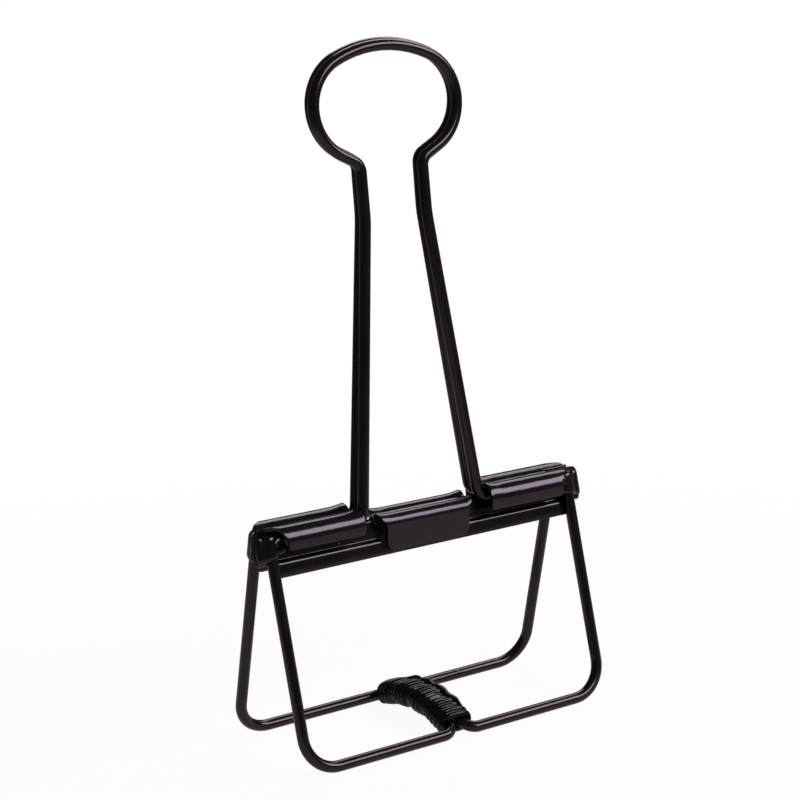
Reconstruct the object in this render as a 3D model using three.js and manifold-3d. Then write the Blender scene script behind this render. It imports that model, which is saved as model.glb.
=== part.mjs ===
// Wire-frame spring clip: two keyhole wire handles, two rolled sheet jaws and a frame of two
// bent wires that are bound together where they cross the spine.
// Millimetres, +Z up. The clip stands on its two base bars at z = 0 and its mouth is at the top.
// X runs along the jaws and -Y is the front.

import * as THREE from 'three';
import { mergeVertices } from 'three/addons/utils/BufferGeometryUtils.js';
import Module from 'manifold-3d';

const wasm = await Module();
wasm.setup();

// Wire and sheet stock
const wireDiameter = 1.5;
const sheetThickness = 0.4;
const wireSides = 12;
const bendStep = THREE.MathUtils.degToRad(12);

// Frame wires
const baseSpread = 17.8; // between the two base bars
const legInset = 2; // from a jaw's end to the legs
const hingeHeight = 29.6; // of the wire ends in the rolls
const baseCornerRadius = 3.2;
const topCornerRadius = 1.8;
const wireEndGap = 0.7; // in the roll, from a leg's wire end to the nearer handle foot
const seamGap = 0.05; // running gap where a leg turns on its base bar

// Crossing wires on the spine
const crossingGap = 0.1; // between the two crossing wires
const crossingCornerRadius = 2;
const archRise = 2.1;
const archStep = 0.8;
const measureStep = 0.02; // for the arch's length

// Binding wire
const bindingDiameter = 0.45;
const bindingTurns = 16;
const bindingPitch = 0.93;
const bindingClearance = 0.1;
const stepsPerTurn = 24;
const bindingSides = 6;

// Jaws
const jawLength = 51;
const mouthGap = 0.3;
const wirePlay = 0.2; // from the jaw's plate to the wires in its rolls
const rollPlay = 0.5; // from the wires to the roll's bore
const rollStep = THREE.MathUtils.degToRad(11);
const sideWallLean = THREE.MathUtils.degToRad(8); // inward, from the roll down
const flapWidth = 13.2;
const flapThickness = 0.38; // the sheet is stretched a little thinner over the flap's tight roll
const flapRollDrop = 0.8; // of the flap's smaller roll below the side rolls
const flapLipGap = 0.12; // from the flap's lower edge to the lip behind it
const flapOverlap = 1; // by which the flap's sheet laps the plate below the notch
const flapDepth = 4.4; // below the hinge axis, as all the depths here
const flapCornerRadius = 1.2;
const notchWidth = 3.7;
const notchDepth = 0.85;
const sideRollDepth = 1.65;
const tabDepth = 3.25;
const lipDepth = 5.05;
const lipJogDepth = 2.85;
const lipJogOffset = 0.46;
const lipJogRadius = 0.6;
const lipClearance = 0.25; // from the lip's ends to the legs
const windowRimWidth = 2.7; // of the curve that ends a roll beside its leg
const windowRimHeight = 2.1;
const windowTopDrop = 0.1; // of the window's top below the roll's crest
const tabCornerRadius = 2;
const smallCornerRadius = 0.45;
const splitInset = 0.75; // from a side wall's inside to where the two outlines part
const outlineSpare = 1; // by which an outline passes the sheet that it cuts
const sectionSpare = 0.5; // by which the bent sheet passes the side walls' and the lip's edges
const crestSpare = 0.05; // by which the plate's outline clears the roll's crest

// Handles
const handleHeight = 60.15;
const footSpan = 18.26; // between the corners above the feet
const footLength = 6.37;
const footCornerRadius = 1.4;
const neckWidth = 9.48;
const neckHeight = 38.3;
const neckBlendRadius = 20;
const shoulderAngle = THREE.MathUtils.degToRad(40);
const shoulderRadius = 2;
const eyeWidth = 21.8;
const eyeSideRadius = 6.6;
const eyeTopRadius = 17;
const handleShift = 0.3; // each handle sits this far to one side
const rearLean = THREE.MathUtils.degToRad(4.6);
const handleRestGap = 0.25; // between the two handles where they rest together

// Values worked out from the sizes above
const wireRadius = wireDiameter / 2;
const barHeight = wireRadius;
const barOffset = baseSpread / 2;
const legX = jawLength / 2 - legInset;
const barEndX = legX - baseCornerRadius;
const footEndX = footSpan / 2 + footLength + handleShift;
const wireEndLength = legX - footEndX - wireEndGap;
const boreRadius = wireRadius + rollPlay;
const rollRadius = boreRadius + sheetThickness;
const rollOffset = mouthGap / 2 + rollRadius;
const hingeOffset = mouthGap / 2 + sheetThickness + wirePlay + wireRadius;
const legRise = hingeHeight - barHeight;
const legLean = Math.atan2(barOffset - hingeOffset, legRise);
const legLength = Math.hypot(barOffset - hingeOffset, legRise);
const crossingX = wireRadius + crossingGap / 2;
const restSpread = wireDiameter + handleRestGap;
const frontLean = Math.asin((2 * hingeOffset - restSpread) / handleHeight + Math.sin(rearLean));

// The plate leans out as the legs do. The flap hangs just clear of the lip behind it, and its
// roll is as small as that makes it, tangent to the same plate as the side rolls.
const sheetRadius = boreRadius + sheetThickness / 2;
const flapBottom = hingeHeight - flapDepth;
const notchFloor = hingeHeight - notchDepth;
const lipFace = rollOffset - sheetRadius * Math.cos(legLean)
  + (flapDepth - sheetRadius * Math.sin(legLean)) * Math.tan(legLean)
  + (sheetThickness / 2 + lipJogOffset) / Math.cos(legLean);
const flapWallInside = lipFace + flapLipGap;
const flapRollShift = (flapRollDrop * Math.sin(legLean) + flapThickness / 2 - sheetRadius)
  / Math.cos(legLean);
const flapBoreRadius = (flapWallInside - rollOffset - flapRollShift)
  / (1 + 1 / Math.cos(legLean));
const sideRoll = {
  offset: rollOffset,
  height: hingeHeight,
  bore: boreRadius,
  thickness: sheetThickness,
  lean: sideWallLean,
  foot: hingeHeight - sideRollDepth - sectionSpare,
};
const flapRoll = {
  offset: flapWallInside - flapBoreRadius,
  height: hingeHeight - flapRollDrop,
  bore: flapBoreRadius,
  thickness: flapThickness,
  lean: 0,
  foot: flapBottom,
};

// Black enamelled steel, in the slightly different tones of wire and sheet
function enamel(colour, roughness) {
  return new THREE.MeshStandardMaterial({ color: colour, roughness, metalness: 0.1 });
}

function named(name, geometry, material) {
  const mesh = new THREE.Mesh(geometry, material);
  mesh.name = name;
  return mesh;
}

// A flat route with straight runs and round corners. The last corner is the route's end.
function addCorners(path, corners) {
  corners.forEach((corner, index) => {
    if (index === corners.length - 1) {
      path.lineTo(corner.x, corner.y);
      return;
    }
    const at = new THREE.Vector2(corner.x, corner.y);
    const next = new THREE.Vector2(corners[index + 1].x, corners[index + 1].y);
    const inward = at.clone().sub(path.currentPoint).normalize();
    const outward = next.sub(at).normalize();
    const turn = Math.atan2(inward.cross(outward), inward.dot(outward));
    const side = Math.sign(turn);
    const tangent = corner.r * Math.tan(Math.abs(turn) / 2);
    const start = at.addScaledVector(inward, -tangent);
    if (start.distanceTo(path.currentPoint) > 1e-6) {
      path.lineTo(start.x, start.y);
    }
    const heading = inward.angle() - side * Math.PI / 2;
    const centreX = start.x - corner.r * Math.cos(heading);
    const centreY = start.y - corner.r * Math.sin(heading);
    path.absarc(centreX, centreY, corner.r, heading, heading + turn, side < 0);
  });
  return path;
}

// Points and headings along a flat route: runs keep their ends, or are cut into short steps
function sampleRoute(path, longestRun = Infinity) {
  const stations = [];
  for (const piece of path.curves) {
    const sweep = piece.isEllipseCurve ? Math.abs(piece.aEndAngle - piece.aStartAngle) : 0;
    const steps = Math.max(1, Math.ceil(sweep / bendStep), Math.ceil(piece.getLength() / longestRun));
    for (let i = 0; i <= steps; i += 1) {
      const point = piece.getPointAt(i / steps);
      const previous = stations.at(-1);
      if (!previous || previous.point.distanceTo(point) > 1e-4) {
        stations.push({ point, heading: piece.getTangentAt(i / steps) });
      }
    }
  }
  return stations;
}

// A curve in space that visits the stations of a flat route, laid out by place(x, y)
class WireRoute extends THREE.Curve {
  constructor(stations, place) {
    super();
    const nudge = 1e-3;
    this.points = stations.map(({ point }) => place(point.x, point.y));
    this.tangents = stations.map(({ point, heading }) => {
      const ahead = point.clone().addScaledVector(heading, nudge);
      const behind = point.clone().addScaledVector(heading, -nudge);
      return place(ahead.x, ahead.y).sub(place(behind.x, behind.y)).normalize();
    });
  }

  getPointAt(u, target = new THREE.Vector3()) {
    return target.copy(this.points[Math.round(u * (this.points.length - 1))]);
  }

  getTangentAt(u, target = new THREE.Vector3()) {
    return target.copy(this.tangents[Math.round(u * (this.tangents.length - 1))]);
  }

  getSpacedPoints(divisions) {
    return Array.from({ length: divisions + 1 }, (unused, i) => this.getPointAt(i / divisions));
  }
}

// A round wire whose flat facets lie at its true radius, so that it rests on one of them
function wireGeometry(stations, place) {
  const cornerRadius = wireRadius / Math.cos(Math.PI / wireSides);
  const section = new THREE.Shape(Array.from({ length: wireSides }, (unused, i) => {
    const angle = (i + 0.5) * 2 * Math.PI / wireSides;
    return new THREE.Vector2(cornerRadius * Math.cos(angle), cornerRadius * Math.sin(angle));
  }));
  const extrudePath = new WireRoute(stations, place);
  return new THREE.ExtrudeGeometry(section, { steps: stations.length - 1, extrudePath });
}

// Height of the crossing wires, which arch from bar to bar
function archHeight(y) {
  return barHeight + archRise * (1 - (y / barOffset) ** 2);
}

// One half of the base: a front bar, a wire over the spine and a rear bar, on side +1 or -1
function baseGeometry(side) {
  const route = new THREE.Path();
  route.moveTo(side * (barEndX - seamGap), -barOffset);
  addCorners(route, [
    { x: side * crossingX, y: -barOffset, r: crossingCornerRadius },
    { x: side * crossingX, y: barOffset, r: crossingCornerRadius },
    { x: side * (barEndX - seamGap), y: barOffset },
  ]);
  const onBar = (station) => Math.abs(station.point.y) > barOffset - 1e-6;
  const stations = sampleRoute(route, archStep).filter((station, index, all) => {
    const isEnd = index === 0 || index === all.length - 1;
    return isEnd || !onBar(all[index - 1]) || !onBar(all[index + 1]);
  });
  return wireGeometry(stations, (x, y) => new THREE.Vector3(x, y, archHeight(y)));
}

// A leg: up from the base bar, leaning in, then along the roll. Drawn for the rear, on +X or -X
function legGeometry(side) {
  const route = new THREE.Path();
  route.moveTo(side * barEndX, 0);
  addCorners(route, [
    { x: side * legX, y: 0, r: baseCornerRadius },
    { x: side * legX, y: legLength, r: topCornerRadius },
    { x: side * (legX - wireEndLength), y: legLength },
  ]);
  const place = (x, along) => new THREE.Vector3(
    x,
    barOffset - along * Math.sin(legLean),
    barHeight + along * Math.cos(legLean),
  );
  return wireGeometry(sampleRoute(route), place);
}

// A handle, in its own upright plane with the feet on its X axis
function handleGeometry() {
  const footX = footSpan / 2;
  const neckX = neckWidth / 2;
  const sideX = eyeWidth / 2 - eyeSideRadius;
  const topY = handleHeight - eyeTopRadius;
  const sideY = topY + Math.sqrt((eyeTopRadius - eyeSideRadius) ** 2 - sideX ** 2);
  const startAngle = shoulderAngle - Math.PI / 2;
  const meetAngle = Math.atan2(sideY - topY, sideX);
  const eyeStartX = sideX + eyeSideRadius * Math.cos(startAngle);
  const eyeStartY = sideY + eyeSideRadius * Math.sin(startAngle);
  const shoulderY = eyeStartY - (eyeStartX - neckX) * Math.tan(shoulderAngle);
  const route = new THREE.Path();
  route.moveTo(footX + footLength, 0);
  addCorners(route, [
    { x: footX, y: 0, r: footCornerRadius },
    { x: neckX, y: neckHeight, r: neckBlendRadius },
    { x: neckX, y: shoulderY, r: shoulderRadius },
    { x: eyeStartX, y: eyeStartY },
  ]);
  route.absarc(sideX, sideY, eyeSideRadius, startAngle, meetAngle, false);
  route.absarc(0, topY, eyeTopRadius, meetAngle, Math.PI - meetAngle, false);
  route.absarc(-sideX, sideY, eyeSideRadius, Math.PI - meetAngle, Math.PI - startAngle, false);
  addCorners(route, [
    { x: -neckX, y: shoulderY, r: shoulderRadius },
    { x: -neckX, y: neckHeight, r: neckBlendRadius },
    { x: -footX, y: 0, r: footCornerRadius },
    { x: -footX - footLength, y: 0 },
  ]);
  return wireGeometry(sampleRoute(route), (x, y) => new THREE.Vector3(x, 0, y));
}

function toSolid(geometry) {
  const bare = geometry.clone();
  bare.deleteAttribute('normal');
  bare.deleteAttribute('uv');
  const merged = mergeVertices(bare, 1e-5);
  return new wasm.Manifold(new wasm.Mesh({
    numProp: 3,
    vertProperties: new Float32Array(merged.attributes.position.array),
    triVerts: new Uint32Array(merged.index.array),
  }));
}

function toGeometry(solid) {
  const mesh = solid.getMesh();
  const geometry = new THREE.BufferGeometry();
  geometry.setAttribute('position', new THREE.BufferAttribute(mesh.vertProperties, 3));
  geometry.setIndex(new THREE.BufferAttribute(mesh.triVerts, 1));
  geometry.computeVertexNormals();
  return geometry;
}

// The middle line of a bent sheet, drawn by going forward and bending, with its left-hand normals
class SheetLine {
  constructor(x, y, heading) {
    this.at = new THREE.Vector2(x, y);
    this.heading = heading;
    this.stations = [];
    this.mark();
  }

  mark() {
    const normal = new THREE.Vector2(-Math.sin(this.heading), Math.cos(this.heading));
    this.stations.push({ point: this.at.clone(), normal });
  }

  forward(length) {
    this.at.x += length * Math.cos(this.heading);
    this.at.y += length * Math.sin(this.heading);
    this.mark();
  }

  bend(turn, radius) {
    const steps = Math.ceil(Math.abs(turn) / rollStep);
    const side = Math.sign(turn);
    const centre = new THREE.Vector2(
      this.at.x - side * radius * Math.sin(this.heading),
      this.at.y + side * radius * Math.cos(this.heading),
    );
    for (let i = 0; i < steps; i += 1) {
      this.heading += turn / steps;
      this.at.x = centre.x + side * radius * Math.sin(this.heading);
      this.at.y = centre.y - side * radius * Math.cos(this.heading);
      this.mark();
    }
  }

  thicken(thickness) {
    const offset = (station, by) => station.point.clone().addScaledVector(station.normal, by);
    const left = this.stations.map((station) => offset(station, thickness / 2));
    const right = this.stations.map((station) => offset(station, -thickness / 2));
    return new THREE.Shape([...right, ...left.reverse()]);
  }
}

// A section of the jaw: up the outer wall, over the roll, down the plate and out over the lip's
// jog. It runs a little past the lip's edge, which the blank's outline then cuts.
function jawSection(roll) {
  const radius = roll.bore + roll.thickness / 2;
  const wallTopY = roll.height - radius * Math.sin(roll.lean);
  const wallLength = (wallTopY - roll.foot) / Math.cos(roll.lean);
  const line = new SheetLine(
    roll.offset + radius * Math.cos(roll.lean) - wallLength * Math.sin(roll.lean),
    roll.foot,
    Math.PI / 2 - roll.lean,
  );
  line.forward(wallLength);
  line.bend(Math.PI + legLean + roll.lean, radius);
  const plateLength = (line.at.y - (hingeHeight - lipJogDepth)) / Math.cos(legLean);
  line.forward(plateLength);
  const jogTurn = Math.acos(1 - lipJogOffset / (2 * lipJogRadius));
  line.bend(jogTurn, lipJogRadius);
  line.bend(-jogTurn, lipJogRadius);
  line.forward((line.at.y - (hingeHeight - lipDepth) + sectionSpare) / Math.cos(legLean));
  return line.thicken(roll.thickness);
}

// Outlines of the blank as seen from outside, for X > 0 or X < 0, or for both at once
function closedOutline(corners, startX, startY) {
  const outline = new THREE.Shape();
  outline.moveTo(startX, startY);
  addCorners(outline, [...corners, { x: startX, y: startY }]);
  return outline;
}

function mirrored(shape) {
  const points = shape.getPoints(6).map((point) => new THREE.Vector2(-point.x, point.y));
  return new THREE.Shape(points.reverse());
}

// The middle flap, which hangs down from its roll
function flapOutline(top) {
  const half = flapWidth / 2;
  return closedOutline([
    { x: -half, y: flapBottom, r: flapCornerRadius },
    { x: half, y: flapBottom, r: flapCornerRadius },
    { x: half, y: top, r: smallCornerRadius },
  ], -half, top);
}

// The part of the plate that the flap's roll rises from, lapping the plate below the notch
function flapRootOutline(top) {
  const half = flapWidth / 2;
  const bottom = notchFloor - flapOverlap;
  return new THREE.Shape([
    new THREE.Vector2(-half, bottom),
    new THREE.Vector2(half, bottom),
    new THREE.Vector2(half, top),
    new THREE.Vector2(-half, top),
  ]);
}

// A side roll, ending beside its leg in a window with a curved rim
function sideRollOutline(top) {
  const inner = flapWidth / 2 + notchWidth;
  const outer = legX - topCornerRadius;
  const bottom = hingeHeight - sideRollDepth;
  const windowTop = hingeHeight + rollRadius - windowTopDrop;
  const outline = new THREE.Shape();
  outline.moveTo(inner, top);
  addCorners(outline, [
    { x: inner, y: bottom, r: smallCornerRadius },
    { x: outer, y: bottom, r: smallCornerRadius },
    { x: outer, y: windowTop - windowRimHeight },
  ]);
  outline.absellipse(
    outer + windowRimWidth,
    windowTop - windowRimHeight,
    windowRimWidth,
    windowRimHeight,
    Math.PI,
    Math.PI / 2,
    true,
  );
  outline.lineTo(jawLength / 2 + outlineSpare, windowTop);
  outline.lineTo(jawLength / 2 + outlineSpare, top);
  outline.lineTo(inner, top);
  return outline;
}

// The plate with its end tabs, its lip between the legs and a wide notch for the handle, the flap
// and its roll
function plateOutline(top) {
  const lipEnd = legX - wireRadius - lipClearance;
  const end = jawLength / 2;
  const lipBottom = hingeHeight - lipDepth;
  const tabBottom = hingeHeight - tabDepth;
  const notchOuter = flapWidth / 2 + notchWidth;
  const r = smallCornerRadius;
  const rightHalf = [
    { x: lipEnd, y: lipBottom, r },
    { x: lipEnd, y: tabBottom, r: r / 2 },
    { x: end, y: tabBottom, r },
    { x: end, y: top, r: tabCornerRadius },
    { x: notchOuter, y: top, r: r / 2 },
    { x: notchOuter, y: notchFloor, r },
  ];
  const leftHalf = rightHalf.map((corner) => ({ ...corner, x: -corner.x })).reverse();
  return closedOutline([...rightHalf, ...leftHalf], 0, lipBottom);
}

// Cuts an outline right through, between two distances from the clip's middle plane
function throughCut(outline, near, far) {
  const geometry = new THREE.ExtrudeGeometry(outline, {
    depth: far - near,
    bevelEnabled: false,
    curveSegments: 6,
  });
  geometry.rotateX(Math.PI / 2);
  geometry.translate(0, far, 0);
  return toSolid(geometry);
}

// A sheet bent to one section all along the jaw
function bentSheet(roll) {
  const sheet = new THREE.ExtrudeGeometry(jawSection(roll), { depth: jawLength, bevelEnabled: false });
  sheet.applyMatrix4(new THREE.Matrix4().makeBasis(
    new THREE.Vector3(0, 1, 0),
    new THREE.Vector3(0, 0, 1),
    new THREE.Vector3(1, 0, 0),
  ));
  sheet.translate(-jawLength / 2, 0, 0);
  return toSolid(sheet);
}

// A jaw, drawn for the rear: the bent sheet with its side rolls and the flap's own roll, each kept
// only inside the outlines of its blank
function jawGeometry() {
  const crest = hingeHeight + rollRadius;
  const far = rollOffset + rollRadius + outlineSpare;
  const outerTop = crest + outlineSpare;
  const sideSplit = rollOffset + boreRadius - splitInset;
  const sideOutline = sideRollOutline(outerTop);
  const sides = throughCut(plateOutline(crest + crestSpare), -outlineSpare, sideSplit)
    .add(throughCut(sideOutline, sideSplit, far))
    .add(throughCut(mirrored(sideOutline), sideSplit, far));
  const flap = throughCut(flapRootOutline(outerTop), -outlineSpare, flapWallInside)
    .add(throughCut(flapOutline(outerTop), flapWallInside - flapLipGap / 2, far));
  const sideSheet = bentSheet(sideRoll).intersect(sides);
  return toGeometry(sideSheet.add(bentSheet(flapRoll).intersect(flap)));
}

// The arch that the binding follows, measured along its length from the middle
function archPlaces() {
  const places = [{ along: 0, y: 0 }];
  while (places.at(-1).y < barOffset) {
    const { along, y } = places.at(-1);
    const rise = archHeight(y + measureStep) - archHeight(y);
    places.push({ along: along + Math.hypot(measureStep, rise), y: y + measureStep });
  }
  return places;
}

function archY(places, along) {
  const distance = Math.abs(along);
  const index = places.findIndex((place) => place.along >= distance);
  const before = places[Math.max(index - 1, 0)];
  const after = places[index];
  const share = after === before ? 0 : (distance - before.along) / (after.along - before.along);
  return Math.sign(along) * (before.y + share * (after.y - before.y));
}

// The binding's oval turn round both crossing wires, from the middle of its flat underside
function ovalPoint(share) {
  const bendRadius = wireRadius / Math.cos(Math.PI / wireSides) + bindingClearance + bindingDiameter / 2;
  const arc = Math.PI * bendRadius;
  const flat = 2 * crossingX;
  let along = share * 2 * (arc + flat);
  if (along < flat / 2) {
    return { x: along, z: -bendRadius, angle: -Math.PI / 2 };
  }
  along -= flat / 2;
  if (along < arc) {
    const angle = along / bendRadius - Math.PI / 2;
    return { x: crossingX + bendRadius * Math.cos(angle), z: bendRadius * Math.sin(angle), angle };
  }
  along -= arc;
  if (along < flat) {
    return { x: crossingX - along, z: bendRadius, angle: Math.PI / 2 };
  }
  along -= flat;
  if (along < arc) {
    const angle = along / bendRadius + Math.PI / 2;
    return { x: -crossingX + bendRadius * Math.cos(angle), z: bendRadius * Math.sin(angle), angle };
  }
  return { x: along - arc - crossingX, z: -bendRadius, angle: -Math.PI / 2 };
}

// Centres of the binding wire, with the way that each faces out of the winding
function bindingCentres() {
  const places = archPlaces();
  const total = bindingTurns * stepsPerTurn;
  return Array.from({ length: total + 1 }, (unused, i) => {
    const along = (i / stepsPerTurn - bindingTurns / 2) * bindingPitch;
    const oval = ovalPoint((i % stepsPerTurn) / stepsPerTurn);
    const y = archY(places, along);
    const slope = Math.atan(-2 * archRise * y / barOffset ** 2);
    const centre = new THREE.Vector3(
      oval.x,
      y - oval.z * Math.sin(slope),
      archHeight(y) + oval.z * Math.cos(slope),
    );
    const outward = new THREE.Vector3(
      Math.cos(oval.angle),
      -Math.sin(oval.angle) * Math.sin(slope),
      Math.sin(oval.angle) * Math.cos(slope),
    );
    return { centre, outward };
  });
}

// Least free space between the turns, from the centres a half turn or more apart
function leastGap(centres) {
  let least = Infinity;
  for (let i = 0; i < centres.length; i += 1) {
    for (let j = i + stepsPerTurn / 2; j < centres.length; j += 1) {
      least = Math.min(least, centres[i].centre.distanceTo(centres[j].centre));
    }
  }
  return least - bindingDiameter;
}

// The binding as one unbroken tube: rings of points round its centres, and a cap at each end
function bindingGeometry() {
  const centres = bindingCentres();
  console.log(`binding wire: least gap to itself ${leastGap(centres).toFixed(3)} mm`);
  const positions = [];
  const indices = [];
  centres.forEach(({ centre, outward }, ring) => {
    const before = centres[Math.max(ring - 1, 0)].centre;
    const after = centres[Math.min(ring + 1, centres.length - 1)].centre;
    const tangent = after.clone().sub(before).normalize();
    const across = tangent.clone().cross(outward).normalize();
    const radial = across.clone().cross(tangent);
    for (let k = 0; k < bindingSides; k += 1) {
      const angle = k * 2 * Math.PI / bindingSides;
      const point = centre.clone()
        .addScaledVector(radial, Math.cos(angle) * bindingDiameter / 2)
        .addScaledVector(across, Math.sin(angle) * bindingDiameter / 2);
      positions.push(point.x, point.y, point.z);
      if (ring > 0) {
        const here = ring * bindingSides + k;
        const beside = ring * bindingSides + (k + 1) % bindingSides;
        indices.push(here - bindingSides, beside - bindingSides, beside);
        indices.push(here - bindingSides, beside, here);
      }
    }
  });
  const last = (centres.length - 1) * bindingSides;
  for (let k = 1; k < bindingSides - 1; k += 1) {
    indices.push(0, k + 1, k);
    indices.push(last, last + k, last + k + 1);
  }
  const geometry = new THREE.BufferGeometry();
  geometry.setAttribute('position', new THREE.Float32BufferAttribute(positions, 3));
  geometry.setIndex(indices);
  geometry.computeVertexNormals();
  return geometry;
}

// One side of the clip, drawn for the rear: a jaw, its two legs and its handle
function clipSide(facing, legNames, lean) {
  const side = new THREE.Group();
  side.add(named(`jaw_${facing}`, jawGeometry(), enamel(0x1c1a1c, 0.24)));
  side.add(named(legNames[0], legGeometry(1), enamel(0x151315, 0.26)));
  side.add(named(legNames[1], legGeometry(-1), enamel(0x151315, 0.26)));
  const handle = named(`handle_${facing}`, handleGeometry(), enamel(0x171315, 0.22));
  handle.position.set(handleShift, hingeOffset, hingeHeight);
  handle.rotation.x = lean;
  side.add(handle);
  return side;
}

const clip = new THREE.Group();
clip.name = 'wire_frame_clip';

const rearSide = clipSide('rear', ['leg_rear_right', 'leg_rear_left'], -rearLean);
clip.add(rearSide);

const frontSide = clipSide('front', ['leg_front_left', 'leg_front_right'], frontLean);
frontSide.rotation.z = Math.PI;
clip.add(frontSide);

clip.add(named('frame_base_left', baseGeometry(-1), enamel(0x141214, 0.26)));
clip.add(named('frame_base_right', baseGeometry(1), enamel(0x141214, 0.26)));
clip.add(named('binding_wire', bindingGeometry(), enamel(0x1a1719, 0.3)));

export default clip;
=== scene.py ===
import math

import bmesh
import bpy
from mathutils import Matrix, Vector


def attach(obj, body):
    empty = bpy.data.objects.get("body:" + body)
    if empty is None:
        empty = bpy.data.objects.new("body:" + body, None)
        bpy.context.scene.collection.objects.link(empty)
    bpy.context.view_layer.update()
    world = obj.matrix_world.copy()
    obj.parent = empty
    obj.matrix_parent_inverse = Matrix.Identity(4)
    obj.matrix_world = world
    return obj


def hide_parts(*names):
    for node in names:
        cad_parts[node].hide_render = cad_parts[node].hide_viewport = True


# Wire-frame spring clip in black enamelled steel, standing on its two base bars.
# Sizes are in millimetres up to the last step of each mesh, where mm scales them to metres.

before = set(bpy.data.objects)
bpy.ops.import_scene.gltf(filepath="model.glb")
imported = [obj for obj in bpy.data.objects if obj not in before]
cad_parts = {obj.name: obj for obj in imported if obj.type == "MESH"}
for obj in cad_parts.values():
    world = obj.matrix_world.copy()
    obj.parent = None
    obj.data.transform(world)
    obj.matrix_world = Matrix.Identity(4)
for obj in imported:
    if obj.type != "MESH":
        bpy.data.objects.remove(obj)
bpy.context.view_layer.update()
mm = 0.001

# What the wires and the jaws share
stock = {
    "wireRadius": 0.75,
    "sheetThickness": 0.4,
    "hingeHeight": 29.6,  # of the wires in the rolls
    "hingeOffset": 1.5,  # of the same wires from the middle plane
    "barOffset": 8.9,  # of the base bars from the middle plane
    "legX": 23.5,
    "baseCornerRadius": 4.5,
}
legSlope = math.atan2(
    stock["barOffset"] - stock["hingeOffset"],
    stock["hingeHeight"] - stock["wireRadius"],
)
halfTurn = Matrix.Rotation(math.pi, 4, "Z")  # a front piece is the rear one turned round


# Node trees

def addNode(tree, kind, inputs=None, **settings):
    node = tree.nodes.new(kind)
    for name, value in settings.items():
        setattr(node, name, value)
    for name, value in (inputs or {}).items():
        if isinstance(value, bpy.types.NodeSocket):
            tree.links.new(value, node.inputs[name])
        else:
            node.inputs[name].default_value = value
    return node


def linearColour(hexText):
    channels = [int(hexText[i:i + 2], 16) / 255 for i in (1, 3, 5)]
    linear = [c / 12.92 if c <= 0.04045 else ((c + 0.055) / 1.055) ** 2.4 for c in channels]
    return (*linear, 1)


# Enamel: a dark, glassy dielectric skin over steel, so its look is mostly what it reflects.
# Dipped and stoved enamel flows out to faint waves one or two millimetres across, and a few nibs
# of dust are set in it.
enamel = {
    "deepBelow": 0.35,  # of the cloud's range
    "warmAbove": 0.68,
    "cloudDetail": 3.0,
    "peelDetail": 2.0,
    "nibReach": 0.12,  # of the spacing between nibs
}


def makeEnamel(name, look):
    material = bpy.data.materials.new(name)
    material.use_nodes = True
    tree = material.node_tree
    tree.nodes.clear()
    place = addNode(tree, "ShaderNodeTexCoord")
    cloud = addNode(tree, "ShaderNodeTexNoise", {
        "Vector": place.outputs["Object"],
        "Scale": 1 / (look["cloudSize"] * mm),
        "Detail": enamel["cloudDetail"],
    })
    tone = addNode(tree, "ShaderNodeValToRGB", {"Fac": cloud.outputs["Fac"]})
    tone.color_ramp.elements[0].position = enamel["deepBelow"]
    tone.color_ramp.elements[0].color = linearColour(look["deepTone"])
    tone.color_ramp.elements[1].position = enamel["warmAbove"]
    tone.color_ramp.elements[1].color = linearColour(look["warmTone"])
    gloss = addNode(tree, "ShaderNodeMapRange", {
        "Value": cloud.outputs["Fac"],
        "To Min": look["smoothest"],
        "To Max": look["roughest"],
    })
    peel = addNode(tree, "ShaderNodeTexNoise", {
        "Vector": place.outputs["Object"],
        "Scale": 1 / (look["peelSize"] * mm),
        "Detail": enamel["peelDetail"],
    })
    dust = addNode(tree, "ShaderNodeTexVoronoi", {
        "Vector": place.outputs["Object"],
        "Scale": 1 / (look["nibSpacing"] * mm),
    })
    nibs = addNode(tree, "ShaderNodeMapRange", {
        "Value": dust.outputs["Distance"],
        "From Min": 0.0,
        "From Max": enamel["nibReach"],
        "To Min": look["nibHeight"],
        "To Max": 0.0,
    }, interpolation_type="SMOOTHSTEP")
    relief = addNode(tree, "ShaderNodeMath", {
        0: peel.outputs["Fac"],
        1: nibs.outputs["Result"],
    }, operation="ADD")
    bump = addNode(tree, "ShaderNodeBump", {
        "Strength": 1.0,
        "Distance": look["peelDepth"] * mm,
        "Height": relief.outputs["Value"],
    })
    shader = addNode(tree, "ShaderNodeBsdfPrincipled", {
        "Base Color": tone.outputs["Color"],
        "Roughness": gloss.outputs["Result"],
        "Normal": bump.outputs["Normal"],
        "IOR": look["ior"],
        "Specular Tint": linearColour(look["skinTint"]),
    })
    addNode(tree, "ShaderNodeOutputMaterial", {"Surface": shader.outputs["BSDF"]})
    return material


wireEnamel = makeEnamel("blackEnamelledSpringWire", {
    "deepTone": "#080507",
    "warmTone": "#120a0d",
    "skinTint": "#fce7f6",
    "cloudSize": 6,
    "smoothest": 0.12,
    "roughest": 0.22,
    "peelSize": 1.7,
    "peelDepth": 0.022,
    "nibSpacing": 3.1,
    "nibHeight": 1.5,
    "ior": 1.48,
})
sheetEnamel = makeEnamel("blackEnamelledSteelSheet", {
    "deepTone": "#0a080b",
    "warmTone": "#130e12",
    "skinTint": "#fce7fd",
    "cloudSize": 5,
    "smoothest": 0.1,
    "roughest": 0.18,
    "peelSize": 2.2,
    "peelDepth": 0.04,
    "nibSpacing": 2.7,
    "nibHeight": 1.2,
    "ior": 1.48,
})
bindingEnamel = makeEnamel("blackEnamelPooledOnBindingWire", {
    "deepTone": "#080608",
    "warmTone": "#120d10",
    "skinTint": "#fce7f6",
    "cloudSize": 1.6,
    "smoothest": 0.06,
    "roughest": 0.14,
    "peelSize": 0.6,
    "peelDepth": 0.02,
    "nibSpacing": 1.3,
    "nibHeight": 0.6,
    "ior": 1.31,
})
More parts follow.
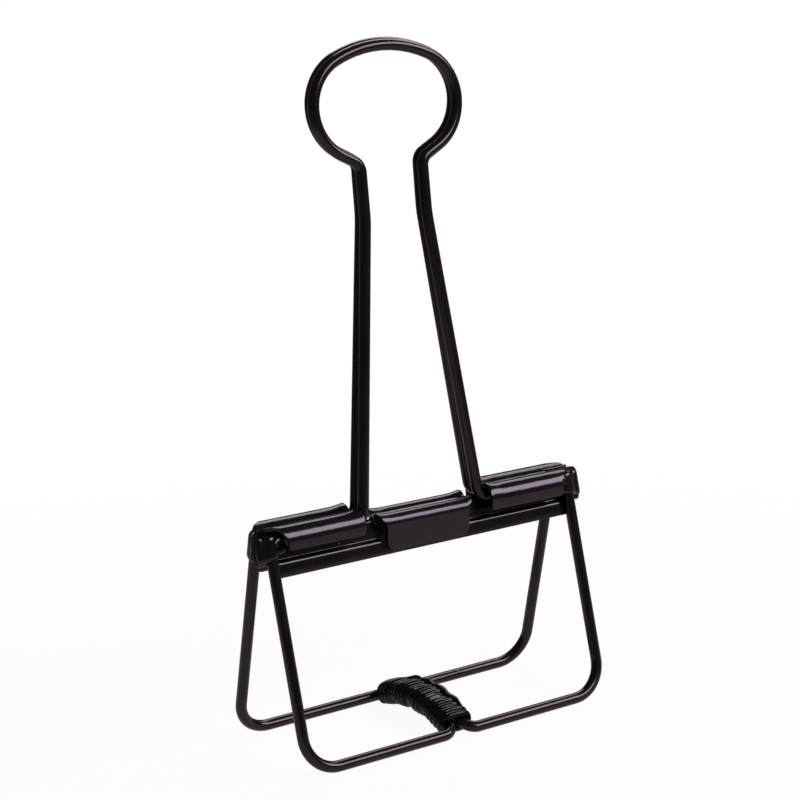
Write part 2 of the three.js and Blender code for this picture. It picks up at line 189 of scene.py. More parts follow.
print("materials: three black enamels")


# Pieces

def addPiece(name, mesh, node, body):
    piece = bpy.data.objects.new(name, mesh)
    bpy.context.scene.collection.objects.link(piece)
    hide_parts(node)
    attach(piece, body)
    return piece


def takeMesh(holder):
    bpy.context.view_layer.update()
    evaluated = holder.evaluated_get(bpy.context.evaluated_depsgraph_get())
    mesh = bpy.data.meshes.new_from_object(evaluated)
    bpy.data.objects.remove(holder)
    return mesh


def setInput(modifier, name, value):
    for item in modifier.node_group.interface.items_tree:
        if item.item_type == "SOCKET" and item.in_out == "INPUT" and item.name == name:
            modifier[item.identifier] = value
            return
    raise KeyError(name)


def newTree(name, inputs):
    tree = bpy.data.node_groups.new(name, "GeometryNodeTree")
    tree.interface.new_socket("Geometry", in_out="INPUT", socket_type="NodeSocketGeometry")
    for label, kind, value in inputs:
        item = tree.interface.new_socket(label, in_out="INPUT", socket_type=kind)
        if value is not None:
            item.default_value = value
    tree.interface.new_socket("Geometry", in_out="OUTPUT", socket_type="NodeSocketGeometry")
    return tree


def runTree(name, tree, mesh, values):
    holder = bpy.data.objects.new(name, mesh)
    bpy.context.scene.collection.objects.link(holder)
    modifier = holder.modifiers.new("shape", "NODES")
    modifier.node_group = tree
    for label, value in values.items():
        setInput(modifier, label, value)
    return takeMesh(holder)


# A closed skin: each ring of points is joined to the next, and both end rings are filled
def sealMesh(name, rings, finish, sharpAngle):
    bm = bmesh.new()
    rows = [[bm.verts.new(point) for point in ring] for ring in rings]
    for before, after in zip(rows, rows[1:]):
        for k in range(len(before)):
            beside = (k + 1) % len(before)
            bm.faces.new((before[k], before[beside], after[beside], after[k]))
    bm.faces.new(reversed(rows[0]))
    bm.faces.new(rows[-1])
    bmesh.ops.recalc_face_normals(bm, faces=bm.faces)
    mesh = bpy.data.meshes.new(name)
    bm.to_mesh(mesh)
    bm.free()
    mesh.materials.append(finish)
    mesh.shade_smooth()
    mesh.set_sharp_from_angle(angle=math.radians(sharpAngle))
    return mesh


# Nothing along most of a length, and 1 at both its ends
def nearEnds(share):
    return (2 * share - 1) ** 8


# Wires: a bent centre line, and a tree that sweeps a round section along it
wireInputs = [
    ("Radius", "NodeSocketFloat", 0.001),
    ("Sides", "NodeSocketInt", 32),
    ("Finish", "NodeSocketMaterial", None),
]


def finishWireTree(tree, start, line):
    path = addNode(tree, "GeometryNodeMeshToCurve", {"Mesh": line})
    section = addNode(tree, "GeometryNodeCurvePrimitiveCircle", {
        "Resolution": start.outputs["Sides"],
        "Radius": start.outputs["Radius"],
    })
    sweep = addNode(tree, "GeometryNodeCurveToMesh", {
        "Curve": path.outputs["Curve"],
        "Profile Curve": section.outputs["Curve"],
        "Fill Caps": True,
    })
    smooth = addNode(tree, "GeometryNodeSetShadeSmooth", {"Geometry": sweep.outputs["Mesh"]})
    real = addNode(tree, "GeometryNodeRealizeInstances", {"Geometry": smooth.outputs["Geometry"]})
    dressed = addNode(tree, "GeometryNodeSetMaterial", {
        "Geometry": real.outputs["Geometry"],
        "Material": start.outputs["Finish"],
    })
    addNode(tree, "NodeGroupOutput", {"Geometry": dressed.outputs["Geometry"]})
    return tree


def makeWireTree():
    tree = newTree("sweptWire", wireInputs)
    start = addNode(tree, "NodeGroupInput")
    return finishWireTree(tree, start, start.outputs["Geometry"])


wireTree = makeWireTree()


def lineMesh(name, points):
    mesh = bpy.data.meshes.new(name)
    mesh.from_pydata(points, [(i, i + 1) for i in range(len(points) - 1)], [])
    return mesh


def sweepWire(name, route, finish, radius=stock["wireRadius"], sides=32, place=None):
    points = [(place @ point if place else point) * mm for point in route]
    return runTree(name, wireTree, lineMesh(name, points), {
        "Radius": radius * mm,
        "Sides": sides,
        "Finish": finish,
    })


samePlace = 1e-4  # points closer than this are one


# Corners are (point, bend radius); the first and last have no bend
def roundRoute(corners, stepsPerBend=14):
    route = [corners[0][0]]
    for (before, _), (at, radius), (after, _) in zip(corners, corners[1:], corners[2:]):
        inward = (at - before).normalized()
        outward = (after - at).normalized()
        turn = inward.angle(outward)
        axis = inward.cross(outward).normalized()
        bendStart = at - inward * radius * math.tan(turn / 2)
        centre = bendStart + axis.cross(inward) * radius
        for i in range(stepsPerBend + 1):
            spin = Matrix.Rotation(turn * i / stepsPerBend, 3, axis)
            point = centre + spin @ (bendStart - centre)
            if (point - route[-1]).length > samePlace:
                route.append(point)
    if (corners[-1][0] - route[-1]).length > samePlace:
        route.append(corners[-1][0])
    return route


# The two handles: keyhole loops whose feet turn out into the rolls
handle = {
    "height": 60.15,
    "footHalf": 9.13,
    "footLength": 6.37,
    "footRadius": 1.4,
    "neckHalf": 4.74,
    "neckHeight": 38.3,
    "neckBlend": 20,
    "shoulderAngle": 28,
    "shoulderRadius": 1.7,
    "eyeHalf": 10.9,
    "eyeSideRadius": 6.6,
    "eyeTopRadius": 17,
    "frontShift": 0.3,
    "rearShift": 0.42,
    "rearLean": 4.6,
    "frontLean": 5.8,
    "stepsPerRightAngle": 18,
}


def arcPoints(centre, radius, startAngle, endAngle):
    count = max(2, round(abs(endAngle - startAngle) / (math.pi / 2) * handle["stepsPerRightAngle"]))
    angles = [startAngle + (endAngle - startAngle) * i / count for i in range(count + 1)]
    return [centre + radius * Vector((math.cos(a), 0, math.sin(a))) for a in angles]


def handleRoute():
    sideX = handle["eyeHalf"] - handle["eyeSideRadius"]
    topZ = handle["height"] - handle["eyeTopRadius"]
    sideZ = topZ + math.sqrt((handle["eyeTopRadius"] - handle["eyeSideRadius"]) ** 2 - sideX ** 2)
    rise = math.radians(handle["shoulderAngle"])
    startAngle = rise - math.pi / 2
    meetAngle = math.atan2(sideZ - topZ, sideX)
    side = arcPoints(Vector((sideX, 0, sideZ)), handle["eyeSideRadius"], startAngle, meetAngle)
    top = arcPoints(Vector((0, 0, topZ)), handle["eyeTopRadius"], meetAngle, math.pi / 2)
    shoulderZ = side[0].z - (side[0].x - handle["neckHalf"]) * math.tan(rise)
    lower = roundRoute([
        (Vector((handle["footHalf"] + handle["footLength"], 0, 0)), 0),
        (Vector((handle["footHalf"], 0, 0)), handle["footRadius"]),
        (Vector((handle["neckHalf"], 0, handle["neckHeight"])), handle["neckBlend"]),
        (Vector((handle["neckHalf"], 0, shoulderZ)), handle["shoulderRadius"]),
        (side[0], 0),
    ])
    half = lower + side[1:] + top[1:]
    mirrored = [Vector((-p.x, p.y, p.z)) for p in reversed(half[:-1])]
    return half + mirrored


def makeHandles():
    for side, lean in (("rear", -handle["rearLean"]), ("front", handle["frontLean"])):
        place = (
            Matrix.Translation((handle[f"{side}Shift"], stock["hingeOffset"], stock["hingeHeight"]))
            @ Matrix.Rotation(math.radians(lean), 4, "X")
        )
        if side == "front":
            place = halfTurn @ place
        mesh = sweepWire(f"handle_{side}_wire", handleRoute(), wireEnamel, place=place)
        addPiece(f"handle_{side}_wire", mesh, f"handle_{side}", f"{side}_handle")


makeHandles()
print("handles: two keyhole wires")


# The frame wires. Each is one wire, drawn as a base and two legs that meet ring to ring on the
# axis of the base bar, where the bar twists as the clip opens.
frameWire = {
    "topCornerRadius": 1.8,
    "wireEnd": 7,
    "crossingHalf": 0.8,
    "crossingCornerRadius": 2,
    "archRise": 2.1,
    "archStep": 0.4,
}


def archHeight(y):
    return stock["wireRadius"] + frameWire["archRise"] * (1 - (y / stock["barOffset"]) ** 2)


def legRoute(side):
    legLength = math.hypot(
        stock["barOffset"] - stock["hingeOffset"],
        stock["hingeHeight"] - stock["wireRadius"],
    )
    flat = roundRoute([
        (Vector((stock["legX"] - stock["baseCornerRadius"], 0, 0)), 0),
        (Vector((stock["legX"], 0, 0)), stock["baseCornerRadius"]),
        (Vector((stock["legX"], 0, legLength)), frameWire["topCornerRadius"]),
        (Vector((stock["legX"] - frameWire["wireEnd"], 0, legLength)), 0),
    ])
    return [
        Vector((
            side * point.x,
            stock["barOffset"] - point.z * math.sin(legSlope),
            stock["wireRadius"] + point.z * math.cos(legSlope),
        ))
        for point in flat
    ]


def baseRoute(side):
    endX = side * (stock["legX"] - stock["baseCornerRadius"])
    crossX = side * frameWire["crossingHalf"]
    bar = stock["barOffset"]
    radius = frameWire["crossingCornerRadius"]
    plan = roundRoute([
        (Vector((endX, -bar, 0)), 0),
        (Vector((crossX, -bar, 0)), radius),
        (Vector((crossX, bar, 0)), radius),
        (Vector((endX, bar, 0)), 0),
    ])
    route = []
    for before, after in zip(plan, plan[1:]):
        crossing = abs(after.y - before.y) > 2 * radius
        count = math.ceil(abs(after.y - before.y) / frameWire["archStep"]) if crossing else 1
        route += [before.lerp(after, i / count) for i in range(count)]
    route.append(plan[-1])
    return [Vector((p.x, p.y, archHeight(p.y))) for p in route]


def makeFrameWires():
    for side, name in ((-1, "left"), (1, "right")):
        for node, body, route, place in (
            (f"frame_base_{name}", "spine", baseRoute(side), None),
            (f"leg_rear_{name}", "rear_side", legRoute(side), None),
            (f"leg_front_{name}", "front_side", legRoute(-side), halfTurn),
        ):
            mesh = sweepWire(f"{node}_wire", route, wireEnamel, place=place)
            addPiece(f"{node}_wire", mesh, node, body)


makeFrameWires()
print("frame: two base wires and four legs")


# The binding: turns of wire laid round both crossing wires, with enamel pooled between them
binding = {
    "turns": 18,
    "stepsPerTurn": 40,
    "halfLength": 7.6,
    "wireRadius": 0.45,
    "ovalBend": 1.1,
    "ovalHalfFlat": 0.8,
    "ovalSteepness": 1.6,  # of the change from one half round to the other
    "wireSides": 12,
    "seed": 7,
    "looseness": 0.14,
    "wanderRate": 1.3,  # of the looseness, per turn
    "lapHeight": 0.24,  # where a later pass of turns rides over the one before
    "laps": (  # (share of the length, share of the lap's height): four passes
        (0.0, 0.6), (0.05, 0.9), (0.20, 0.9), (0.24, 0.1),
        (0.30, 0.1), (0.34, 0.95), (0.46, 0.85), (0.50, 0.1),
        (0.55, 0.1), (0.60, 1.0), (0.72, 0.8), (0.76, 0.1),
        (0.80, 0.1), (0.84, 0.9), (1.0, 0.5),
    ),
    "poolBend": 1.5,
    "poolSides": 40,
    "poolRings": 30,
    "poolOffTable": 0.02,
    "sharpAngle": 50,
    "tailRadius": 0.46,  # the wire's end, laid back along the turns
    "tailSides": 16,
    "tailSteps": 40,
    "tailX": 1.5,
    "tailLift": 1.42,
    "tailFrom": 6.6,
    "tailTo": -7.2,
    "tailWobble": 0.08,
    "tailWaves": 2.1,  # of the wobble, in radians per millimetre
    "tailDip": 0.5,  # of both ends under the last turns
}


def makeBindingTree():
    tree = newTree("boundTurns", [
        ("Turns", "NodeSocketFloat", 18.0),
        ("Half Length", "NodeSocketFloat", 0.007),
        ("Bend Radius", "NodeSocketFloat", 0.001),
        ("Half Flat", "NodeSocketFloat", 0.001),
        ("Arch Rise", "NodeSocketFloat", 0.002),
        ("Arch Half Span", "NodeSocketFloat", 0.009),
        ("Bar Height", "NodeSocketFloat", 0.001),
        ("Looseness", "NodeSocketFloat", 0.0001),
        ("Lap Height", "NodeSocketFloat", 0.0001),
        ("Seed", "NodeSocketFloat", 7.0),
        ("Points", "NodeSocketInt", 720),
        *wireInputs,
    ])
    start = addNode(tree, "NodeGroupInput")
    line = addNode(tree, "GeometryNodeMeshLine", {"Count": start.outputs["Points"]})
    index = addNode(tree, "GeometryNodeInputIndex")
    last = addNode(tree, "ShaderNodeMath", {0: start.outputs["Points"], 1: 1.0}, operation="SUBTRACT")
    share = addNode(tree, "ShaderNodeMath", {
        0: index.outputs["Index"],
        1: last.outputs["Value"],
    }, operation="DIVIDE")
    turn = addNode(tree, "ShaderNodeMath", {
        0: share.outputs["Value"],
        1: start.outputs["Turns"],
    }, operation="MULTIPLY")
    seeded = addNode(tree, "ShaderNodeMath", {
        0: turn.outputs["Value"],
        1: start.outputs["Seed"],
    }, operation="ADD")
    wander = addNode(tree, "ShaderNodeTexNoise", {
        "W": seeded.outputs["Value"],
        "Scale": binding["wanderRate"],
        "Detail": 1.0,
    }, noise_dimensions="1D")
    laps = addNode(tree, "ShaderNodeFloatCurve", {"Value": share.outputs["Value"]})
    lapCurve = laps.mapping.curves[0]
    firstSpot, *middleSpots, lastSpot = binding["laps"]
    lapCurve.points[0].location = firstSpot
    lapCurve.points[1].location = lastSpot
    for spot in middleSpots:
        lapCurve.points.new(*spot)
    laps.mapping.update()

    # the formula of the turns: a step is a result, an operation and its terms, each of them a
    # number, an input of the tree or an earlier result
    known = {socket.name: socket for socket in start.outputs}
    known["share"] = share.outputs["Value"]
    known["turn"] = turn.outputs["Value"]
    known["wander"] = wander.outputs["Fac"]
    known["lap"] = laps.outputs["Value"]
    for result, operation, *terms in (
        ("turned", "MULTIPLY", "turn", 2 * math.pi),
        ("angle", "SUBTRACT", "turned", math.pi / 2),
        ("doubled", "MULTIPLY", "share", 2.0),
        ("centred", "SUBTRACT", "doubled", 1.0),
        ("along", "MULTIPLY", "centred", "Half Length"),

        # each turn lies a little loose or tight, and each pass ends raised on the next one
        ("strayed", "SUBTRACT", "wander", 0.5),
        ("loose", "MULTIPLY", "strayed", "Looseness"),
        ("raised", "MULTIPLY", "lap", "Lap Height"),
        ("slack", "ADD", "Bend Radius", "loose"),
        ("bend", "ADD", "slack", "raised"),

        # an oval turn: two half rounds, one about each wire, joined by flats
        ("cosine", "COSINE", "angle"),
        ("sine", "SINE", "angle"),
        ("steep", "MULTIPLY", "cosine", binding["ovalSteepness"]),
        ("floored", "MAXIMUM", "steep", -1.0),
        ("flat", "MINIMUM", "floored", 1.0),
        ("flatPart", "MULTIPLY", "flat", "Half Flat"),
        ("roundPart", "MULTIPLY", "cosine", "bend"),
        ("x", "ADD", "roundPart", "flatPart"),
        ("upward", "MULTIPLY", "sine", "bend"),

        # the arch that the turns follow, and how it slopes
        ("reach", "DIVIDE", "along", "Arch Half Span"),
        ("reachSquared", "MULTIPLY", "reach", "reach"),
        ("fullness", "SUBTRACT", 1.0, "reachSquared"),
        ("rise", "MULTIPLY", "fullness", "Arch Rise"),
        ("height", "ADD", "rise", "Bar Height"),
        ("doubleRise", "MULTIPLY", "Arch Rise", -2.0),
        ("steepness", "DIVIDE", "doubleRise", "Arch Half Span"),
        ("gradient", "MULTIPLY", "reach", "steepness"),
        ("slope", "ARCTANGENT", "gradient"),
        ("slopeSine", "SINE", "slope"),
        ("slopeCosine", "COSINE", "slope"),
        ("leantBack", "MULTIPLY", "upward", "slopeSine"),
        ("y", "SUBTRACT", "along", "leantBack"),
        ("raisedBy", "MULTIPLY", "upward", "slopeCosine"),
        ("aboveTable", "ADD", "height", "raisedBy"),
        ("z", "MAXIMUM", "aboveTable", "Radius"),
    ):
        inputs = {i: known.get(term, term) for i, term in enumerate(terms)}
        known[result] = addNode(tree, "ShaderNodeMath", inputs, operation=operation).outputs["Value"]
    place = addNode(tree, "ShaderNodeCombineXYZ", {"X": known["x"], "Y": known["y"], "Z": known["z"]})
    moved = addNode(tree, "GeometryNodeSetPosition", {
        "Geometry": line.outputs["Mesh"],
        "Position": place.outputs["Vector"],
    })
    return finishWireTree(tree, start, moved.outputs["Geometry"])


# The enamel that has run together between the turns: an oval sleeve with closed ends
def poolMesh():
    rings = []
    half = binding["halfLength"] - binding["wireRadius"] / 2
    for i in range(binding["poolRings"] + 1):
        y = -half + 2 * half * i / binding["poolRings"]
        slope = math.atan(-2 * frameWire["archRise"] * y / stock["barOffset"] ** 2)
        ring = []
        for k in range(binding["poolSides"]):
            angle = 2 * math.pi * k / binding["poolSides"]
            flat = max(-1, min(1, binding["ovalSteepness"] * math.cos(angle)))
            x = math.cos(angle) * binding["poolBend"] + flat * binding["ovalHalfFlat"]
            up = math.sin(angle) * binding["poolBend"]
            point = Vector((x, y - up * math.sin(slope), archHeight(y) + up * math.cos(slope)))
            point.z = max(point.z, binding["poolOffTable"])
            ring.append(point * mm)
        rings.append(ring)
    return sealMesh("binding_pool", rings, bindingEnamel, binding["sharpAngle"])


def tailRoute():
    route = []
    for i in range(binding["tailSteps"] + 1):
        share = i / binding["tailSteps"]
        y = binding["tailFrom"] + (binding["tailTo"] - binding["tailFrom"]) * share
        wobble = binding["tailWobble"] * math.sin(binding["tailWaves"] * y)
        height = archHeight(y) + binding["tailLift"] + wobble - binding["tailDip"] * nearEnds(share)
        route.append(Vector((binding["tailX"] + wobble, y, height)))
    return route


def makeBinding():
    mesh = runTree("binding_turns", makeBindingTree(), bpy.data.meshes.new("bindingSeed"), {
        "Turns": float(binding["turns"]),
        "Half Length": binding["halfLength"] * mm,
        "Bend Radius": binding["ovalBend"] * mm,
        "Half Flat": binding["ovalHalfFlat"] * mm,
        "Arch Rise": frameWire["archRise"] * mm,
        "Arch Half Span": stock["barOffset"] * mm,
        "Bar Height": stock["wireRadius"] * mm,
        "Looseness": binding["looseness"] * mm,
        "Lap Height": binding["lapHeight"] * mm,
        "Seed": float(binding["seed"]),
        "Points": binding["turns"] * binding["stepsPerTurn"] + 1,
        "Radius": binding["wireRadius"] * mm,
        "Sides": binding["wireSides"],
        "Finish": bindingEnamel,
    })
    addPiece("binding_turns", mesh, "binding_wire", "spine")
    addPiece("binding_pool", poolMesh(), "binding_wire", "spine")
    mesh = sweepWire(
        "binding_tail", tailRoute(), bindingEnamel, binding["tailRadius"], binding["tailSides"],
    )
    addPiece("binding_tail", mesh, "binding_wire", "spine")


makeBinding()
print("binding: wound turns and the enamel between them")


# A jaw: one blank of sheet, drawn flat as (x along the jaw, s up from the lip's edge), cut to
# its outline, divided where it bends, then wrapped round its section and given its thickness.
# The middle flap has a smaller and lower roll of its own.
jaw = {
    "halfLength": 25.5,
    "mouthHalf": 0.15,
    "sideBore": 1.25,
    "sideWallLean": 8,
    "flapBore": 0.75,
    "flapDrop": 0.8,
    "flapHalf": 6.45,
    "flapRollHalf": 7.4,  # the flap is wider over its roll than down its face
    "flapTaperFrom": 0.5,  # radians past the crest, where the roll's width starts to narrow
    "flapTaperCorner": 0.6,
    "flapDepth": 4.4,
    "flapCorner": 1.2,
    "notchEnd": 10.25,
    "notchDepth": 0.64,
    "notchCorner": 0.45,
    "sideRollDepth": 1.65,
    "sideRollEnd": 21.7,
    "shoulderTurn": 35,  # degrees past the crest where the roll opens into a wider bend
    "shoulderWider": 1.4,
    "rimEnd": 23.1,  # where the tab's edge leaves the crest and runs over to the roll's end
    "rimReach": 1.9,
    "rimStartCorner": 0.1,
    "rimCorner": 0.8,
    "tabDepth": 3.25,
    "tabCorner": 2.3,
    "tabCurlFrom": 24.1,
    "tabCurlPower": 1.5,
    "lipDepth": 5.05,
    "lipEnd": 23.3,
    "lipJogDepth": 2.85,
    "lipJogOffset": 0.46,
    "lipJogRadius": 0.45,
    "smallCorner": 0.45,
    "flare": 0.22,  # the rolls' ends are sprung open by the shears
    "flareReach": 1.1,
    "edgeRadius": 0.1,
    "edgeAngle": 50,  # degrees at which an edge of the sheet is rounded
    "sharpAngle": 48,
    "columnStep": 0.8,
    "bendStep": 7,
    "flatStep": 1.2,
    "cornerSteps": 8,
    "leastStrip": 0.05,
    "mergeDistance": 0.03,
}

# Each jaw came off the press a little uneven: one end lower, one wall shorter. Each end has what
# is trimmed off its wall, and where its tab ends and its roll starts. Both jaws are drawn as the
# rear one, with left at -X, so left and right change places on the front one as it is turned round.
pressed = {
    "front": {
        "settle": 0.15,
        "lipTilt": -0.06,
        "rollTilt": -0.25,
        "flapShift": 0,
        "tabCurl": 0.5,  # the tabs' ends turn out round the legs
        "left": {"trim": 0.12, "end": 25.7, "roll": 9.75},
        "right": {"trim": 0.35, "end": 25.6, "roll": 10.25},
    },
    "rear": {
        "settle": 0.15,
        "lipTilt": 0.06,
        "rollTilt": 0.2,
        "flapShift": 0.5,
        "tabCurl": 0,
        "left": {"trim": 0.1, "end": 24.9, "roll": 10.25},
        "right": {"trim": 0.2, "end": 25.5, "roll": 10.25},
    },
}


class SheetSection:
    # Pieces are (length, turn), from the lip's lower edge up over the roll and down the wall
    def __init__(self, bore, drop, lean, wallFoot):
        radius = bore + stock["sheetThickness"] / 2
        sideRadius = jaw["sideBore"] + stock["sheetThickness"] / 2
        outward = Vector((math.cos(legSlope), math.sin(legSlope)))
        down = Vector((math.sin(legSlope), -math.cos(legSlope)))
        rollCentre = Vector((
            jaw["mouthHalf"] + stock["sheetThickness"] + jaw["sideBore"],
            stock["hingeHeight"],
        ))
        plateTop = rollCentre - outward * sideRadius
        jogTurn = math.acos(1 - jaw["lipJogOffset"] / (2 * jaw["lipJogRadius"]))
        jog = jaw["lipJogRadius"] * jogTurn
        jogTop = plateTop + down * self.fall(plateTop.y, jaw["lipJogDepth"])
        lipTop = jogTop + outward * jaw["lipJogOffset"] + down * 2 * jaw["lipJogRadius"] * math.sin(jogTurn)
        lip = self.fall(lipTop.y, jaw["lipDepth"])
        self.at = lipTop + down * lip
        self.heading = math.pi / 2 + legSlope
        rollStart = stock["hingeHeight"] - drop - radius * math.sin(legSlope)
        plate = (rollStart - jogTop.y) / math.cos(legSlope)
        wallLean = math.radians(lean)
        rise = math.pi / 2 + legSlope
        near = math.radians(jaw["shoulderTurn"])
        far = math.pi / 2 - near + wallLean
        self.farRadius = radius * jaw["shoulderWider"]
        self.nearRadius = (radius - self.farRadius * (1 - math.sin(near))) / math.sin(near)
        wallTop = (
            stock["hingeHeight"] - drop + radius
            - self.nearRadius * (1 - math.cos(near))
            - self.farRadius * (math.cos(near) + math.sin(wallLean))
        )
        wall = (wallTop - wallFoot) / math.cos(wallLean)
        self.pieces = [
            (lip, 0), (jog, jogTurn), (jog, -jogTurn), (plate, 0), (radius * rise, -rise),
            (self.nearRadius * near, -near), (self.farRadius * far, -far), (wall, 0),
        ]
        self.near = near
        self.rollStart = lip + 2 * jog + plate
        self.crest = self.rollStart + radius * rise
        self.total = sum(length for length, _ in self.pieces)

    def fall(self, height, depth):
        return (height - (stock["hingeHeight"] - depth)) / math.cos(legSlope)

    # Where the sheet has turned so far past the crest
    def pastCrest(self, turn):
        return self.crest + self.nearRadius * self.near + self.farRadius * (turn - self.near)

    # How far up the plate a depth below the hinge is
    def plateMark(self, depth):
        top = self.place(self.rollStart)[0].y
        return self.rollStart - self.fall(top, depth)

    def place(self, s):
        at = self.at.copy()
        heading = self.heading
        for length, turn in self.pieces:
            part = max(0.0, min(s, length))
            if turn == 0 or part == 0:
                at += Vector((math.cos(heading), math.sin(heading))) * part
            else:
                swing = turn * part / length
                radius = length / turn
                at.x += radius * (math.sin(heading + swing) - math.sin(heading))
                at.y -= radius * (math.cos(heading + swing) - math.cos(heading))
                heading += swing
            s -= part
            if s <= 0:
                break
        return at, Vector((-math.sin(heading), math.cos(heading)))

    def bendLines(self, low, high):
        lines = []
        s = 0
        for length, turn in self.pieces:
            count = max(1, math.ceil(abs(turn) / math.radians(jaw["bendStep"])))
            if turn == 0:
                count = max(1, round(length / jaw["flatStep"]))
            lines += [s + length * i / count for i in range(count)]
            s += length
        return [line for line in lines if low < line < high]


sideSection = SheetSection(
    jaw["sideBore"], 0, jaw["sideWallLean"], stock["hingeHeight"] - jaw["sideRollDepth"],
)
flapSection = SheetSection(
    jaw["flapBore"], jaw["flapDrop"], 0, stock["hingeHeight"] - jaw["flapDepth"],
)


def sectionAt(x):
    return flapSection if abs(x) < (jaw["flapRollHalf"] + jaw["notchEnd"]) / 2 else sideSection


def halfOutline(end, flapMiddle):
    small = jaw["smallCorner"]
    notchFloor = sideSection.plateMark(jaw["notchDepth"])
    tabFoot = sideSection.plateMark(jaw["tabDepth"])
    wallFoot = sideSection.total - end["trim"]
    flapEdge = flapMiddle + jaw["flapHalf"]
    flapRollEdge = flapMiddle + jaw["flapRollHalf"]
    corners = [
        ((0, 0), 0),
        ((jaw["lipEnd"], 0), small),
        ((jaw["lipEnd"], tabFoot), small / 2),
        ((end["end"], tabFoot), small),
        ((end["end"], sideSection.crest), jaw["tabCorner"]),
        ((jaw["rimEnd"], sideSection.crest), jaw["rimStartCorner"]),
        ((jaw["sideRollEnd"], sideSection.crest + jaw["rimReach"]), jaw["rimCorner"]),
        ((jaw["sideRollEnd"], wallFoot), small),
        ((end["roll"], wallFoot), small),
        ((end["roll"], notchFloor), jaw["notchCorner"]),
        ((flapRollEdge, notchFloor), jaw["notchCorner"]),
        ((flapRollEdge, flapSection.pastCrest(jaw["flapTaperFrom"])), jaw["flapTaperCorner"]),
        ((flapEdge, flapSection.pastCrest(math.pi / 2)), jaw["flapTaperCorner"]),
        ((flapEdge, flapSection.total), jaw["flapCorner"]),
        ((0, flapSection.total), 0),
    ]
    return roundRoute(
        [(Vector((x, s, 0)), radius) for (x, s), radius in corners], jaw["cornerSteps"],
    )


def blankOutline(press):
    right = halfOutline(press["right"], press["flapShift"])
    left = halfOutline(press["left"], -press["flapShift"])
    return right + [Vector((-p.x, p.y, 0)) for p in reversed(left[1:-1])]


def cutBlank(bm, place, direction, faces):
    edges = {edge for face in faces for edge in face.edges}
    verts = {vertex for face in faces for vertex in face.verts}
    bmesh.ops.bisect_plane(
        bm, geom=[*verts, *edges, *faces], plane_co=place, plane_no=direction, dist=samePlace,
    )


# Below the notch floor both sections are one; above it each is divided at its own bends
def divideBlank(bm):
    columns = round(2 * jaw["halfLength"] / jaw["columnStep"])
    for i in range(columns + 1):
        x = -jaw["halfLength"] + 2 * jaw["halfLength"] * i / columns
        cutBlank(bm, Vector((x, 0, 0)), Vector((1, 0, 0)), bm.faces[:])
    parting = sideSection.plateMark(jaw["notchDepth"]) + jaw["notchCorner"]
    upward = Vector((0, 1, 0))
    for s in [*flapSection.bendLines(0, parting - jaw["leastStrip"]), parting]:
        cutBlank(bm, Vector((0, s, 0)), upward, bm.faces[:])
    for section in (flapSection, sideSection):
        for s in section.bendLines(parting + jaw["leastStrip"], section.total):
            faces = [
                face for face in bm.faces
                if face.calc_center_median().y > parting
                and sectionAt(face.calc_center_median().x) is section
            ]
            cutBlank(bm, Vector((0, s, 0)), upward, faces)
    bmesh.ops.remove_doubles(bm, verts=bm.verts, dist=jaw["mergeDistance"])


def flareAt(x, s, section, press):
    reach = section.total - section.rollStart
    overCrest = max(0.0, 1 - 2 * abs(s - section.crest) / reach)
    middle = press["flapShift"]
    ends = (
        middle - jaw["flapRollHalf"], middle + jaw["flapRollHalf"],
        -press["left"]["roll"], press["right"]["roll"],
    )
    nearest = min(abs(x - end) for end in ends)
    return jaw["flare"] * overCrest * math.exp(-(nearest / jaw["flareReach"]) ** 2)


# From a place on the blank to the pressed jaw, for the rear side, in metres
def pressedPlace(x, s, press, lift=0.0):
    section = sectionAt(x)
    at, outside = section.place(s)
    at = at + outside * (flareAt(x, s, section, press) + lift)
    share = min(1.0, s / section.crest)
    tilt = press["lipTilt"] + (press["rollTilt"] - press["lipTilt"]) * share
    at.y -= press["settle"] * share + tilt * x / jaw["halfLength"]
    curl = max(0.0, abs(x) - jaw["tabCurlFrom"]) / (jaw["halfLength"] - jaw["tabCurlFrom"])
    at.x += press["tabCurl"] * curl ** jaw["tabCurlPower"]
    return Vector((x, at.x, at.y)) * mm


def jawMesh(name, press):
    bm = bmesh.new()
    bm.faces.new([bm.verts.new(p) for p in blankOutline(press)])
    divideBlank(bm)
    for vertex in bm.verts:
        vertex.co = pressedPlace(vertex.co.x, vertex.co.y, press)
    bmesh.ops.recalc_face_normals(bm, faces=bm.faces)
    mesh = bpy.data.meshes.new(name)
    bm.to_mesh(mesh)
    bm.free()
    holder = bpy.data.objects.new(name, mesh)
    bpy.context.scene.collection.objects.link(holder)
    wall = holder.modifiers.new("thickness", "SOLIDIFY")
    wall.thickness = stock["sheetThickness"] * mm
    wall.offset = 0
    wall.use_even_offset = True
    edges = holder.modifiers.new("edges", "BEVEL")
    edges.width = jaw["edgeRadius"] * mm
    edges.segments = 2
    edges.limit_method = "ANGLE"
    edges.angle_limit = math.radians(jaw["edgeAngle"])
    finished = takeMesh(holder)
    finished.materials.clear()
    finished.materials.append(sheetEnamel)
    finished.shade_smooth()
    finished.set_sharp_from_angle(angle=math.radians(jaw["sharpAngle"]))
    return finished


